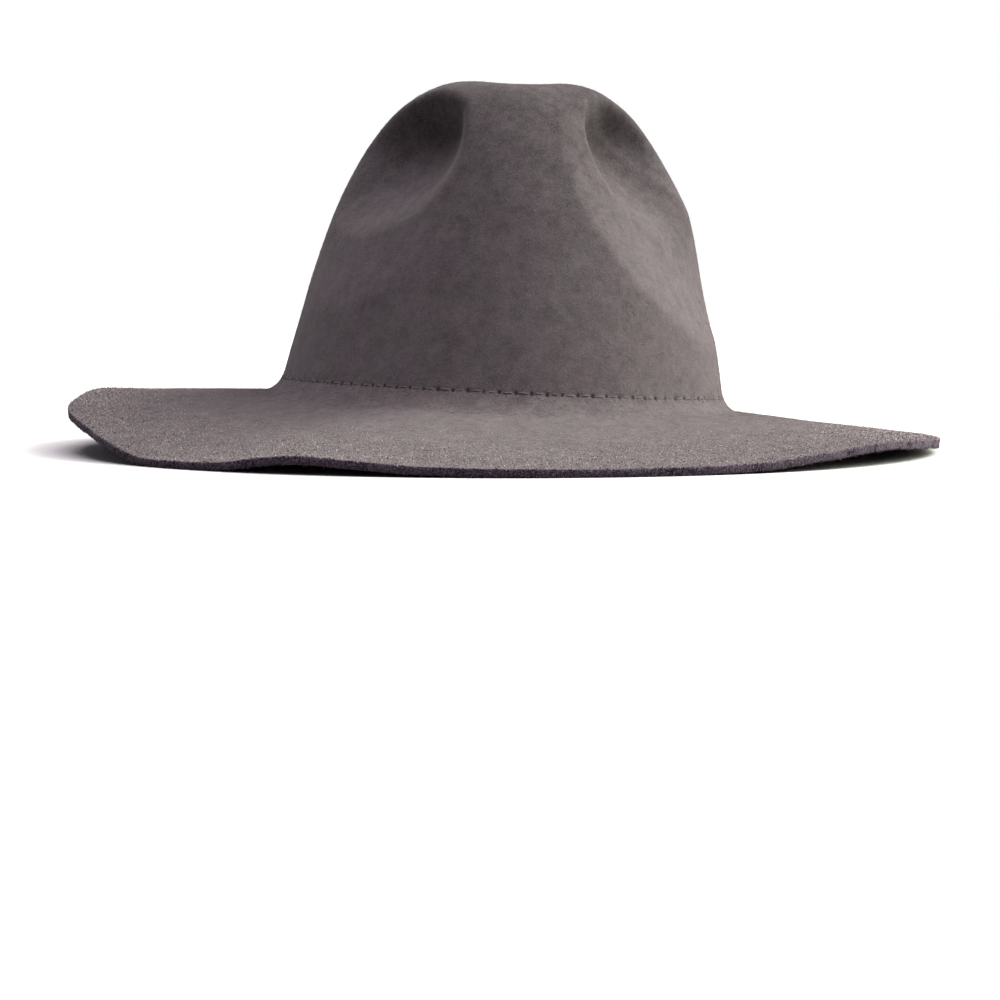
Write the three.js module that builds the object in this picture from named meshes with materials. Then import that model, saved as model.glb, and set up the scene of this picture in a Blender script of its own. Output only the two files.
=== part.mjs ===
// Wide-brim felt hat: crown and brim blocked from one piece of felt, and a ribbon sweatband sewn inside
// the foot. Millimetres and degrees. +Z is up, the front faces -Y and the wearer's left side is +X.

import * as THREE from 'three';

// Driving dimensions of the felt, taken on its outside
const crownHalfWidth = 90;
const crownHalfLength = 108;
const crownHeight = 131.7;
const crownRake = 11.9; // height that the top loses over one crownHalfLength towards the back
const rakeFront = 0.35; // place ahead of the middle that keeps its height, as a share of crownHalfLength
const crownBow = 1.8; // sideways bow of the crown at its mid-height, towards the wearer's left
const crownFelt = 2.5;
const crownRoundness = 0.65; // power of the wall's curve, from 0 for a square crown to 2 for a pointed one
const brimWidth = 85;
const brimDrop = 24; // what a drop share of 1 means in the brim's sections
const brimFelt = 3;
const brimCurl = 0.85; // power of the brim's drop: below 1 it falls near the crown, above 1 at the edge
const brimBreak = 9; // reach of the curve between wall and brim, up the wall and out on the brim
const creaseDepth = 10;
const creaseWidth = 32;
const creaseSide = -3; // middle of the crease from the middle of the crown
const creaseFront = 60; // ends of the top crease, measured from the middle of the crown
const creaseBack = 48;
// Where the crease begins and where it is full, as shares of crownHeight
const creaseHeights = { none: 0.6, full: 0.9 };
const lean = 2.7; // how far the hat tips to the wearer's left when it stands on its uneven brim
const restFlat = 1.4; // how deep the brim's lowest places are pressed flat where the hat rests

// Driving dimensions of the sweatband
const bandHeight = 32;
const bandThickness = 1.2;
const bandGap = 0.4; // clearance between the ribbon and the felt
const bandLift = 1.5; // height of its lower edge above the crown's foot

// Share of the crown's width that is lost from the foot to the top, by side
const taper = { side: 0.305, front: 0.3, back: 0.16 };

// The brim's edge round the hat. Azimuth runs from the front towards the wearer's left,
// width is a share of brimWidth and drop a share of brimDrop.
const brimSections = [
  { azimuth: -180, width: 1.0, drop: 0.68 },
  { azimuth: -160, width: 1.0, drop: 0.84 },
  { azimuth: -135, width: 1.0, drop: 0.5 },
  { azimuth: -115, width: 0.98, drop: 0.17 },
  { azimuth: -95, width: 0.975, drop: 0.36 },
  { azimuth: -72, width: 0.99, drop: 0.58 },
  { azimuth: -50, width: 1.0, drop: 1.0 },
  { azimuth: -30, width: 1.0, drop: 0.73 },
  { azimuth: -8, width: 1.0, drop: 0.76 },
  { azimuth: 15, width: 1.0, drop: 0.58 },
  { azimuth: 38, width: 1.0, drop: 0.24 },
  { azimuth: 65, width: 1.0, drop: 0.25 },
  { azimuth: 90, width: 1.0, drop: 0.27 },
  { azimuth: 115, width: 1.0, drop: 0.3 },
  { azimuth: 135, width: 1.0, drop: 0.38 },
  { azimuth: 158, width: 1.0, drop: 0.58 },
];

// Pinches and soft folds of the crown. push is the azimuth that the felt is pressed in from. down is the
// place on the wall and front, back, above and below are half sizes, all as shares of wallLength. depth is
// a share of crownHalfWidth and tilt lifts the front end. lip and rim are the slopes of the lower and upper
// edge, from 1 for crisp to 3 for soft, and wrap is how far the crisp edge turns up round the front end.
const dentColumns = [
  'azimuth', 'push', 'down', 'front', 'back', 'above', 'below', 'tilt', 'depth', 'lip', 'rim', 'wrap',
];
const dents = [
  [-60, -62, 0.37, 0.235, 0.3, 0.19, 0.25, 17, 0.25, 1.6, 2.3, 0.4],
  [54, 54, 0.36, 0.27, 0.24, 0.195, 0.24, 24, 0.255, 1.8, 2.2, 0.2],
  [48, 50, 0.53, 0.4, 0.38, 0.2, 0.25, 47, 0.13, 1.3, 1.6, 0],
  [-56, -56, 0.52, 0.35, 0.35, 0.22, 0.24, 35, 0.045, 1.5, 2, 0],
].map((row) => Object.fromEntries(dentColumns.map((name, index) => [name, row[index]])));
// Where a dent's edge passes from lip to rim, as shares of its half size above
const lipEnds = { from: -0.25, to: 0.375 };

// Fineness of the faceted surfaces
const columns = 72;
const crownRows = 20;
const breakRows = 3;
const brimRowShares = [0.2, 0.32, 0.45, 0.58, 0.71, 0.84, 0.93, 0.968, 1];
const bandRows = 3;

const meanRadius = (crownHalfWidth + crownHalfLength) / 2;
// A quarter of an oval is close to 0.8 of its two half axes together
const wallLength = 0.8 * (meanRadius + crownHeight);
const wallGirth = 0.8 * meanRadius;
// Where the wall passes into the curve of the break
const breakStart = 1 - Math.sqrt((2 * Math.asin((brimBreak / crownHeight) ** 2)) / Math.PI);

const radians = THREE.MathUtils.degToRad;
const clamp = THREE.MathUtils.clamp;

// Smooth value of one column of brimSections at an azimuth: a closed cubic through the rows
function brimValue(column, azimuth) {
  const count = brimSections.length;
  const turn = THREE.MathUtils.euclideanModulo(azimuth + 180, 360) - 180;
  let index = count - 1;
  while (brimSections[index].azimuth > turn) index -= 1;
  const near = [-1, 0, 1, 2].map((step) => {
    const wraps = Math.floor((index + step) / count);
    const row = brimSections[index + step - wraps * count];
    return { at: row.azimuth + 360 * wraps, value: row[column] };
  });
  const span = near[2].at - near[1].at;
  const slopeIn = (near[2].value - near[0].value) / (near[2].at - near[0].at) * span;
  const slopeOut = (near[3].value - near[1].value) / (near[3].at - near[1].at) * span;
  const t = (turn - near[1].at) / span;
  const rise = t * t * (3 - 2 * t);
  const early = t * (1 - t) ** 2;
  const late = t * t * (t - 1);
  return near[1].value * (1 - rise) + near[2].value * rise + slopeIn * early + slopeOut * late;
}

// How far a dent presses the felt in, as a share of its depth: 1 in its middle and 0 on its oval outline
function dentShare(dent, azimuth, down) {
  const turn = THREE.MathUtils.euclideanModulo(azimuth - dent.azimuth + 180, 360) - 180;
  const along = (radians(turn) * Math.sign(dent.azimuth) * wallGirth) / wallLength;
  const up = dent.down - down;
  const tilt = radians(dent.tilt);
  const a = along * Math.cos(tilt) - up * Math.sin(tilt);
  const b = along * Math.sin(tilt) + up * Math.cos(tilt);
  const ahead = a / (a < 0 ? dent.front : dent.back);
  const aside = b / (b > 0 ? dent.above : dent.below);
  const away = ahead ** 2 + aside ** 2;
  const upper = THREE.MathUtils.smoothstep(b / dent.above + dent.wrap * ahead, lipEnds.from, lipEnds.to);
  const slope = dent.lip + (dent.rim - dent.lip) * upper;
  return away < 1 ? (1 - away) ** slope : 0;
}

// Outside of the crown at an azimuth, down its wall from 0 at the top to 1 at the foot
function crownPoint(azimuth, down) {
  const angle = (Math.PI / 2) * (1 - down) ** 2;
  const height = Math.sqrt(Math.sin(angle));
  const sine = Math.sin(radians(azimuth));
  const cosine = Math.cos(radians(azimuth));
  const lost = taper.side * sine * sine + (cosine > 0 ? taper.front : taper.back) * cosine * cosine;
  const reach = (1 - lost * height) * Math.abs(Math.cos(angle)) ** crownRoundness;
  const bow = crownBow * 4 * height * (1 - height);
  const point = new THREE.Vector3(
    crownHalfWidth * reach * sine + bow,
    -crownHalfLength * reach * cosine,
    crownHeight * height,
  );
  for (const dent of dents) {
    const press = dent.depth * crownHalfWidth * dentShare(dent, azimuth, down);
    point.x -= press * Math.sin(radians(dent.push));
    point.y += press * Math.cos(radians(dent.push));
  }
  const middle = (creaseBack - creaseFront) / 2;
  const alongCrease = clamp(Math.abs(point.y - middle) / ((creaseBack + creaseFront) / 2), 0, 1);
  const across = Math.exp(-(((point.x - creaseSide) / (creaseWidth / 2)) ** 2));
  const onTop = clamp((height - creaseHeights.none) / (creaseHeights.full - creaseHeights.none), 0, 1);
  point.z -= creaseDepth * across * (1 - alongCrease ** 2) ** 2 * onTop;
  point.z -= crownRake * (point.y / crownHalfLength + rakeFront) * height * height;
  return point;
}

// Top of the brim at an azimuth, out from 0 at the crown's foot to 1 at the cut edge
function brimPoint(azimuth, out) {
  const sine = Math.sin(radians(azimuth));
  const cosine = Math.cos(radians(azimuth));
  const outward = new THREE.Vector3(sine / crownHalfWidth, -cosine / crownHalfLength, 0).normalize();
  const drop = brimDrop * brimValue('drop', azimuth) * out ** brimCurl;
  return new THREE.Vector3(crownHalfWidth * sine, -crownHalfLength * cosine, -drop)
    .addScaledVector(outward, brimWidth * brimValue('width', azimuth) * out);
}

// Outside of the whole hat: place runs from 0 at the top to 1 where the break starts, to 2 where it ends
// and to 3 at the brim's edge. The break is a parabola between wall and brim, aimed at the crown's foot.
function skinPoint(azimuth, place) {
  const breakEnd = brimBreak / brimWidth;
  if (place <= 1) return crownPoint(azimuth, place * breakStart);
  if (place >= 2) return brimPoint(azimuth, breakEnd + (place - 2) * (1 - breakEnd));
  const t = place - 1;
  return crownPoint(azimuth, breakStart).multiplyScalar((1 - t) ** 2)
    .addScaledVector(brimPoint(azimuth, 0), 2 * t * (1 - t))
    .addScaledVector(brimPoint(azimuth, breakEnd), t * t);
}

// Point a given depth under a surface, along the normal found from small steps on it
function under(surface, azimuth, place, depth, last) {
  const step = 0.004;
  const before = Math.max(place - step, step / 4);
  const after = Math.min(place + step, last);
  const downwards = surface(azimuth, after).sub(surface(azimuth, before));
  const round = surface(azimuth + 0.5, place).sub(surface(azimuth - 0.5, place));
  const inward = round.cross(downwards).normalize();
  return surface(azimuth, place).addScaledVector(inward, depth);
}

// Triangles between rings of points one after another, and from the last ring to the first where they close
function ringTriangles(rings, firstRing, closed) {
  const triangles = [];
  for (let ring = 0; ring < (closed ? rings : rings - 1); ring += 1) {
    for (let column = 0; column < columns; column += 1) {
      const next = (column + 1) % columns;
      const upper = firstRing + ring * columns;
      const lower = firstRing + ((ring + 1) % rings) * columns;
      triangles.push(upper + column, lower + column, lower + next);
      triangles.push(upper + column, lower + next, upper + next);
    }
  }
  return triangles;
}

function geometryOf(points, triangles) {
  const geometry = new THREE.BufferGeometry();
  geometry.setAttribute('position', new THREE.Float32BufferAttribute(points.flatMap((p) => p.toArray()), 3));
  geometry.setIndex(triangles);
  geometry.computeVertexNormals();
  return geometry;
}

// The hat tips onto its brim about the front to back line
function tipped(point) {
  return point.applyAxisAngle(new THREE.Vector3(0, 1, 0), radians(lean));
}

const azimuths = Array.from({ length: columns }, (_, column) => (360 * column) / columns - 180);

// Places of the felt's rings down the crown, round the break and out on the brim
function feltPlaces() {
  const breakEnd = brimBreak / brimWidth;
  const crown = Array.from({ length: crownRows }, (_, row) => (row + 1) / crownRows);
  const turn = Array.from({ length: breakRows }, (_, row) => 1 + (row + 1) / breakRows);
  const brim = brimRowShares.map((out) => 2 + Math.max(out - breakEnd, 0) / (1 - breakEnd));
  return [...crown, ...turn, ...brim.filter((place) => place > 2)];
}

// Crown and brim as one felt wall: the skin, its underside and the cut edge that joins them
function feltPoints() {
  const places = feltPlaces();
  const outside = places.map((place) => azimuths.map((azimuth) => tipped(skinPoint(azimuth, place))));
  const inside = places.map((place) => azimuths.map((azimuth) => {
    const felt = THREE.MathUtils.lerp(crownFelt, brimFelt, clamp(place - 1, 0, 1));
    return tipped(under(skinPoint, azimuth, place, felt, 3));
  }));
  const top = tipped(skinPoint(0, 0));
  const topInside = tipped(skinPoint(0, 0).setZ(skinPoint(0, 0).z - crownFelt));
  return { outside, inside, top, topInside };
}

// The lowest places of the brim are lifted to one plane, both faces alike, as felt flattens where it rests
function pressFlat(outside, inside) {
  const lowest = Math.min(...inside.flat().map((point) => point.z));
  const floor = lowest + restFlat;
  inside.forEach((ring, row) => ring.forEach((point, column) => {
    const lift = Math.max(floor - point.z, 0);
    point.z += lift;
    outside[row][column].z += lift;
  }));
  return floor;
}

function feltGeometry({ outside, inside, top, topInside }) {
  const rings = [...outside, ...inside.slice().reverse()];
  const points = [top, ...rings.flat(), topInside];
  const triangles = ringTriangles(rings.length, 1, false);
  const lastRing = 1 + (rings.length - 1) * columns;
  for (let column = 0; column < columns; column += 1) {
    const next = (column + 1) % columns;
    triangles.push(0, 1 + column, 1 + next);
    triangles.push(lastRing + next, lastRing + column, points.length - 1);
  }
  return geometryOf(points, triangles);
}

// Place down the wall of a height above the foot
function placeAtHeight(height) {
  return 1 - Math.sqrt((2 * Math.asin((height / crownHeight) ** 2)) / Math.PI);
}

// Sweatband: a ribbon that follows the inside of the wall, closed on itself through its two edges
function bandGeometry() {
  const low = placeAtHeight(bandLift);
  const high = placeAtHeight(bandLift + bandHeight);
  const places = Array.from({ length: bandRows + 1 }, (_, row) => high + ((low - high) * row) / bandRows);
  const face = (place, depth) => azimuths.map(
    (azimuth) => tipped(under(crownPoint, azimuth, place, depth, 1)),
  );
  const outer = places.map((place) => face(place, crownFelt + bandGap));
  const inner = places.map((place) => face(place, crownFelt + bandGap + bandThickness));
  const rings = [...outer, ...inner.reverse()];
  return geometryOf(rings.flat(), ringTriangles(rings.length, 0, true));
}

const felt = feltPoints();
const floorHeight = pressFlat(felt.outside, felt.inside);

const feltBody = new THREE.Mesh(
  feltGeometry(felt),
  new THREE.MeshStandardMaterial({ color: 0x5e5659, roughness: 0.95, metalness: 0 }),
);
feltBody.name = 'felt_body';

const sweatband = new THREE.Mesh(
  bandGeometry(),
  new THREE.MeshStandardMaterial({ color: 0x2b282a, roughness: 0.7, metalness: 0 }),
);
sweatband.name = 'sweatband';

// The origin is on the surface that the hat rests on, under the middle of its outline
feltBody.geometry.computeBoundingBox();
const middle = feltBody.geometry.boundingBox.getCenter(new THREE.Vector3());
const hat = new THREE.Group();
for (const piece of [feltBody, sweatband]) {
  piece.position.set(-middle.x, -middle.y, -floorHeight);
  hat.add(piece);
}

export default hat;
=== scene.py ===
"""Wide-brim felt hat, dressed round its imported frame.

Crown and brim are one felt wall, worked out as a surface of two parameters: the azimuth round the hat and the
place between the top of the crown and the cut edge of the brim. A ribbon sweatband is sewn inside the foot of
the crown with one row of stitches. Lengths are in metres, +Z is up and the front faces -Y.
"""

import math

import bpy
import numpy as np
from bpy.props import FloatProperty, FloatVectorProperty, IntProperty, PointerProperty
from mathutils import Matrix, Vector


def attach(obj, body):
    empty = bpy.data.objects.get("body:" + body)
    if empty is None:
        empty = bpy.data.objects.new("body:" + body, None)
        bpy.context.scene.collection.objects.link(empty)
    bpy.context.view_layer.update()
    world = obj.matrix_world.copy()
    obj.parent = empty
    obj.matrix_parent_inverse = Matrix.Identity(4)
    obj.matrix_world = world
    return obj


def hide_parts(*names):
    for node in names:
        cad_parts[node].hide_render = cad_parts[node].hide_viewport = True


bl_info = {
    "name": "Wide-brim felt hat",
    "version": (1, 0, 0),
    "blender": (4, 5, 0),
    "location": "3D Viewport > Sidebar > Felt hat",
    "description": "Felt crown and brim, sweatband, stitches and a studio stage for one hat",
    "category": "Object",
}

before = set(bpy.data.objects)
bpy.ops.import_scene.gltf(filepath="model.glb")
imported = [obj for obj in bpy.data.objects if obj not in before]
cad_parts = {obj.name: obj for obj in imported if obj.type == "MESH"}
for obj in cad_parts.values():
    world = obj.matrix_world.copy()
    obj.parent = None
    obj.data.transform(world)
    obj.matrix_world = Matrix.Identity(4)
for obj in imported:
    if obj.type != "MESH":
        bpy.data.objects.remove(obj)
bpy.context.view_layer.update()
MM = 0.001

# The brim's edge round the hat: azimuth in degrees from the front towards the wearer's left,
# width as a share of the brim's width and drop as a share of its drop.
BRIM_SECTIONS = np.array(
    [
        (-180, 1.00, 0.68),
        (-160, 1.00, 0.84),
        (-135, 1.00, 0.50),
        (-115, 0.98, 0.17),
        (-95, 0.975, 0.36),
        (-72, 0.99, 0.58),
        (-50, 1.00, 1.00),
        (-30, 1.00, 0.73),
        (-8, 1.00, 0.76),
        (15, 1.00, 0.58),
        (38, 1.00, 0.24),
        (65, 1.00, 0.25),
        (90, 1.00, 0.27),
        (115, 1.00, 0.30),
        (135, 1.00, 0.38),
        (158, 1.00, 0.58),
    ],
    dtype=[("azimuth", float), ("width", float), ("drop", float)],
)

# Pinches and soft folds of the crown. Angles in degrees; down is the place on the wall and front, back, above
# and below are half sizes, all as shares of the wall's length; depth is a share of the crown's half width.
# lip and rim are the slopes of the lower and upper edge, from 1 for crisp to 3 for soft, and wrap is how far
# the crisp edge turns up round the front end.
DENTS = np.array(
    [
        (-60, -62, 0.37, 0.235, 0.3, 0.19, 0.25, 17, 0.25, 1.6, 2.3, 0.4),
        (54, 54, 0.36, 0.27, 0.24, 0.195, 0.24, 24, 0.255, 1.8, 2.2, 0.2),
        (48, 50, 0.53, 0.4, 0.38, 0.2, 0.25, 47, 0.13, 1.3, 1.6, 0),
        (-56, -56, 0.52, 0.35, 0.35, 0.22, 0.24, 35, 0.045, 1.5, 2, 0),
    ],
    dtype=[(name, float) for name in (
        "azimuth", "push", "down", "front", "back", "above", "below", "tilt", "depth", "lip", "rim", "wrap")],
)
# Where a dent's edge passes from lip to rim, as shares of its half size above
LIP_ENDS = (-0.25, 0.375)
# Shares of light fibre at the crown's top, at its foot and on the brim. The low share at the top is painted
# shade: it darkens the crown towards its top.
CROWN_TONE_AND_SHADE = (0.05, 0.36)
BRIM_TONE = 0.28
# How far mottling and nap swing that share, on the smooth crown and at the brim's raised edge
MOTTLE_SWING = (0.85, 1.1)
NAP_SWING = (0.22, 2.3)
# Darkest and lightest raw wool as multiples of the cut edge's colour, on its face and in its tufts
EDGE_WOOL = (0.6, 6.0)
TUFT_WOOL = (0.5, 9.0)
# Where the crease begins and is full, as shares of the crown's height
CREASE_HEIGHTS = (0.6, 0.9)
# Length of the curved break over its reach
BREAK_RUN = 1.6


def length(name, value, description):
    """A length property, given in millimetres and kept in metres."""
    return FloatProperty(name=name, description=description, default=value * MM, unit="LENGTH", precision=4)


def number(name, value, description, subtype="NONE"):
    """A number property. Its subtype says when it is a share or an angle."""
    return FloatProperty(name=name, description=description, default=value, subtype=subtype)


def whole(name, value, description, low=1):
    """A whole number property with a lowest value."""
    return IntProperty(name=name, description=description, default=value, min=low)


def colour(name, value, description):
    """A linear colour property."""
    return FloatVectorProperty(name=name, description=description, default=value, subtype="COLOR",
                               size=3, min=0.0, max=1.0)


class HatShape(bpy.types.PropertyGroup):
    """Driving sizes of the felt, taken on its outside."""

    half_width: length("Half width", 90, "Foot of the crown from its middle to its side")
    half_length: length("Half length", 108, "Foot of the crown from its middle to its front")
    height: length("Crown height", 131.7, "Foot of the crown to its top")
    rake: length("Rake", 11.9, "Height that the top loses over one half length towards the back")
    rake_front: number("Rake front", 0.35, "Place ahead of the middle at full height", "FACTOR")
    roundness: number("Roundness", 0.65, "Power of the wall's curve")
    bow: length("Crown bow", 1.8, "Sideways bow of the crown at its mid-height")
    crown_felt: length("Crown felt", 2.5, "Thickness of the crown's wall")
    brim_width: length("Brim width", 85, "Foot of the crown to the cut edge")
    brim_drop: length("Brim drop", 24, "What a drop share of 1 means")
    brim_felt: length("Brim felt", 3, "Thickness of the brim at its cut edge")
    brim_curl: number("Brim curl", 0.85, "Power of the brim's drop")
    brim_break: length("Break", 9, "Reach of the curve between wall and brim")
    crease_depth: length("Crease depth", 10, "Depth of the crease on top of the crown")
    crease_width: length("Crease width", 32, "Width of the crease on top of the crown")
    crease_side: length("Crease side", -3, "Middle of the crease from the middle of the crown")
    crease_front: length("Crease front", 60, "Front end of the crease from the middle")
    crease_back: length("Crease back", 48, "Back end of the crease from the middle")
    side_taper: number("Side taper", 0.305, "Share of width lost at the sides", "FACTOR")
    front_taper: number("Front taper", 0.30, "Share of length lost at the front", "FACTOR")
    back_taper: number("Back taper", 0.16, "Share of length lost at the back", "FACTOR")
    lean: number("Lean", math.radians(2.7), "Tip to the wearer's left when the hat stands", "ANGLE")
    rest_flat: length("Rest flat", 1.4, "How deep the lowest places are pressed flat")
    rest_bend: length("Rest bend", 1.4, "Height over which the felt bends onto the floor")
    edge_round: length("Edge round", 0.5, "Softened corner of the cut edge")
    fray: length("Fray", 0.16, "Roughness of the cut edge")
    fibre_length: length("Fibre length", 2.8, "Usual length of a loose fibre")
    fibre_rise: length("Fibre rise", 0.22, "How far the end of a loose fibre stands off the felt")
    fibre_thickness: length("Fibre thickness", 0.06, "Thickness of a loose fibre")
    tuft_height: length("Tuft height", 0.68, "Usual height of a tuft at the cut edge")
    tuft_width: length("Tuft width", 0.5, "Usual width of a tuft at its foot")
    lump: length("Lumps", 0.16, "Height of the felt's hand-made unevenness")
    crown_fibres: whole("Crown fibres", 8000, "Loose fibres on it")
    brim_fibres: whole("Brim fibres", 7000, "Loose fibres on it")
    brim_tufts: whole("Brim tufts", 40000, "Tufts of nap on the brim")
    edge_tufts: whole("Edge tufts", 12000, "Tufts out of the cut edge")


class HatSewing(bpy.types.PropertyGroup):
    """Sizes of the sweatband and of the stitches that hold it."""

    band_height: length("Band height", 32, "Height of the ribbon")
    band_thickness: length("Band thickness", 1.2, "Thickness of the folded ribbon")
    band_gap: length("Band gap", 0.4, "Clearance between ribbon and felt")
    band_lift: length("Band lift", 1.5, "Lower edge of the ribbon above the crown's foot")
    band_lean: length("Band lean", 0.8, "How far the ribbon's free upper edge stands off the felt")
    lap: length("Lap", 7, "Half length of the overlap of the ribbon's ends at the back")
    lap_rise: length("Lap rise", 0.6, "Extra thickness at the overlap")
    rib_pitch: length("Rib pitch", 0.9, "Distance from one rib of the ribbon to the next")
    stitches: whole("Stitches", 106, "Stitches round the crown", 8)
    row_height: length("Row height", 5.8, "Stitch row above the crown's foot")
    thread: length("Thread", 0.36, "Diameter of the sewing thread")
    hole: length("Needle hole", 0.72, "Radius of a needle hole's mouth")
    hole_depth: length("Hole depth", 0.8, "Depth of the dimple round a needle hole")


class HatColours(bpy.types.PropertyGroup):
    """Colours of the felt, the ribbon and the thread."""

    fibre_dark: colour("Dark fibre", (0.046, 0.039, 0.0425), "Darkest fibres of the felt")
    fibre_light: colour("Light fibre", (0.330, 0.282, 0.300), "Lightest fibres of the felt")
    cool_patch: colour("Cool patch", (0.975, 1.0, 0.985), "Tint of the felt's greener patches")
    warm_patch: colour("Warm patch", (1.0, 0.965, 0.99), "Tint of the felt's redder patches")
    cut_edge: colour("Cut edge", (0.042, 0.033, 0.044), "Raw felt of the cut edge")
    loose: colour("Loose fibres", (0.16, 0.142, 0.147), "Loose fibres that lie on the felt")
    ribbon: colour("Ribbon", (0.022, 0.020, 0.023), "Grosgrain ribbon")
    thread: colour("Thread", (0.25, 0.23, 0.225), "Sewing thread")


class HatStage(bpy.types.PropertyGroup):
    """Camera, lights and floor."""

    azimuth: number("Camera azimuth", math.radians(-9), "Camera round the hat from its front", "ANGLE")
    elevation: number("Camera elevation", math.radians(2), "Camera above the crown's foot", "ANGLE")
    distance: length("Camera distance", 1000, "Camera to the middle of the crown's foot")
    scale: number("Scale", 2.45, "Pixels for each millimetre at the crown's foot")
    foot_row: number("Foot row", 400.0, "Pixel row where the crown's foot shows")
    image: whole("Image", 1000, "Width and height of the picture in pixels")
    key: number("Key light", 2.85, "Strength of the light from the right")
    high: number("High light", 2.0, "Strength of the light high on the right")
    over: number("Overhead light", 1.65, "Strength of the light from above")
    sky: number("Sky", 0.13, "Strength of the even light all round")
    key_colour: colour("Key colour", (0.99, 1.0, 0.88), "Tint of the key light")
    shade_colour: colour("Shade colour", (1.0, 0.94, 1.0), "Tint of the front light and the sky")
    floor: colour("Floor", (0.95, 0.95, 0.95), "Pale studio floor as the camera sees it")
    bounce: colour("Bounce", (0.20, 0.19, 0.20), "Share of light that the floor throws back at the hat")


def break_ends(hat):
    """Where the curved break starts down the wall, and where it ends out on the brim, both as shares."""
    rise = (hat.brim_break / hat.height) ** 2
    return 1 - math.sqrt(2 * math.asin(rise) / math.pi), hat.brim_break / hat.brim_width


def wall_length(hat):
    """Line of the wall from top to foot: close to 0.8 of its two half axes together."""
    return 0.8 * ((hat.half_width + hat.half_length) / 2 + hat.height)


def foot_girth(hat):
    """Length round the crown's foot, taken as a circle of its mean half axis."""
    return math.pi * (hat.half_width + hat.half_length)


def wrapped(degrees):
    """Degrees brought between -180 and 180."""
    return (degrees + 180) % 360 - 180


def smooth_step(value):
    """0 below 0, 1 above 1, and three squares less two cubes between."""
    t = np.clip(value, 0, 1)
    return t * t * (3 - 2 * t)


def unit(vectors):
    """Vectors brought to a length of 1."""
    return vectors / np.linalg.norm(vectors, axis=-1, keepdims=True)


def closed_cubic(column, degrees):
    """Cubic through one column of BRIM_SECTIONS, closed round the circle. Each row's slope is the rise
    between its two neighbours over their distance."""
    at = BRIM_SECTIONS["azimuth"]
    at = np.concatenate([at - 360, at, at + 360])
    value = np.tile(BRIM_SECTIONS[column], 3)
    turn = wrapped(degrees)
    i = np.searchsorted(at, turn, side="right") - 1
    span = at[i + 1] - at[i]
    t = (turn - at[i]) / span
    slope_in = (value[i + 1] - value[i - 1]) / (at[i + 1] - at[i - 1]) * span
    slope_out = (value[i + 2] - value[i]) / (at[i + 2] - at[i]) * span
    rise = smooth_step(t)
    level = value[i] * (1 - rise) + value[i + 1] * rise
    return level + slope_in * t * (1 - t) ** 2 + slope_out * t * t * (t - 1)


def dent_share(hat, dent, degrees, down):
    """Share of a dent's depth: one less the squared distance from its middle in half sizes, raised to the
    slope that blends from its lower lip to its upper rim."""
    girth = 0.8 * (hat.half_width + hat.half_length) / 2 / wall_length(hat)
    along = np.radians(wrapped(degrees - dent["azimuth"])) * np.sign(dent["azimuth"]) * girth
    up = dent["down"] - down
    tilt = math.radians(dent["tilt"])
    a = along * math.cos(tilt) - up * math.sin(tilt)
    b = along * math.sin(tilt) + up * math.cos(tilt)
    ahead = a / np.where(a < 0, dent["front"], dent["back"])
    aside = b / np.where(b > 0, dent["above"], dent["below"])
    upper = (b / dent["above"] + dent["wrap"] * ahead - LIP_ENDS[0]) / (LIP_ENDS[1] - LIP_ENDS[0])
    slope = dent["lip"] + (dent["rim"] - dent["lip"]) * smooth_step(upper)
    return np.maximum(1 - ahead ** 2 - aside ** 2, 0) ** slope


def crown(hat, degrees, down):
    """Outside of the crown, down its wall from 0 at the top to 1 at the foot. The wall is a rounded oval: its
    height is the root of a sine and its reach a power of the cosine of one angle that shrinks with the square
    of the distance from the foot. Dents push it sideways and the crease lowers its top."""
    degrees, down = np.broadcast_arrays(np.asarray(degrees, float), np.asarray(down, float))
    angle = np.pi / 2 * (1 - down) ** 2
    high = np.sqrt(np.sin(angle))
    sine = np.sin(np.radians(degrees))
    cosine = np.cos(np.radians(degrees))
    ends = np.where(cosine > 0, hat.front_taper, hat.back_taper)
    lost = hat.side_taper * sine ** 2 + ends * cosine ** 2
    reach = (1 - lost * high) * np.abs(np.cos(angle)) ** hat.roundness
    x = hat.half_width * reach * sine + hat.bow * 4 * high * (1 - high)
    y = -hat.half_length * reach * cosine
    for dent in DENTS:
        press = dent["depth"] * hat.half_width * dent_share(hat, dent, degrees, down)
        x = x - press * math.sin(math.radians(dent["push"]))
        y = y + press * math.cos(math.radians(dent["push"]))
    middle = (hat.crease_back - hat.crease_front) / 2
    along = np.clip(np.abs(y - middle) / ((hat.crease_back + hat.crease_front) / 2), 0, 1)
    across = np.exp(-((x - hat.crease_side) / (hat.crease_width / 2)) ** 2)
    on_top = np.clip((high - CREASE_HEIGHTS[0]) / (CREASE_HEIGHTS[1] - CREASE_HEIGHTS[0]), 0, 1)
    dip = hat.crease_depth * across * (1 - along ** 2) ** 2 * on_top
    slope = hat.rake * (y / hat.half_length + hat.rake_front) * high ** 2
    return np.stack([x, y, hat.height * high - dip - slope], -1)


def brim(hat, degrees, out):
    """Top of the brim, out from 0 at the crown's foot to 1 at the cut edge: straight out from the foot's
    oval, dropping with a power of the way out."""
    degrees, out = np.broadcast_arrays(np.asarray(degrees, float), np.asarray(out, float))
    sine = np.sin(np.radians(degrees))
    cosine = np.cos(np.radians(degrees))
    across = unit(np.stack([sine / hat.half_width, -cosine / hat.half_length], -1))
    reach = hat.brim_width * closed_cubic("width", degrees) * out
    drop = hat.brim_drop * closed_cubic("drop", degrees) * out ** hat.brim_curl
    x = hat.half_width * sine + across[..., 0] * reach
    y = -hat.half_length * cosine + across[..., 1] * reach
    return np.stack([x, y, -drop], -1)


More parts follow.
